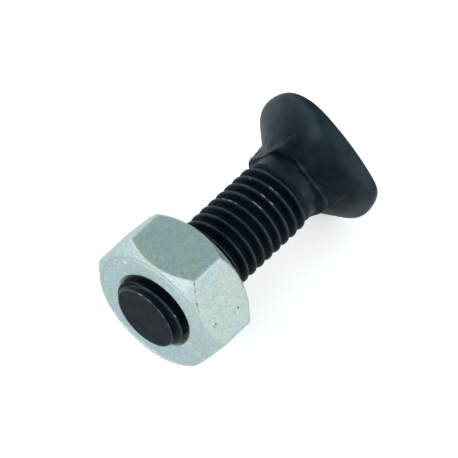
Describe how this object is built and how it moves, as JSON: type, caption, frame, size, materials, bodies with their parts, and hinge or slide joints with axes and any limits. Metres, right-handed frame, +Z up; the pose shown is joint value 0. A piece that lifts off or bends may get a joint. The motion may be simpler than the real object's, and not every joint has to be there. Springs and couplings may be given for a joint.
{
  "type": "plough bolt with nut",
  "caption": "Plough bolt: flat countersunk head with two flattened sides, short square neck and rolled thread, lying on its side with a chamfered hexagon nut near the tip.",
  "frame": {"origin": "on the surface that the bolt lies on, under the middle of its length", "axes": "+X along the bolt from its head to its tip, which points 1.23 degrees downwards, +Z up"},
  "size_m": [0.0328, 0.0194, 0.0183],
  "materials": {
    "black_steel": "black oxide, matte",
    "zinc_steel": "pale zinc plating, satin"
  },
  "bodies": {
    "bolt": {"bolt": "black_steel"},
    "nut": {"nut": "zinc_steel"}
  },
  "joints": [
    {"name": "nut_travel", "type": "slide", "parent": "bolt", "child": "nut", "axis": [0.9998, 0, -0.0215], "range_m": [-0.0135, 0.0105]}
  ]
}
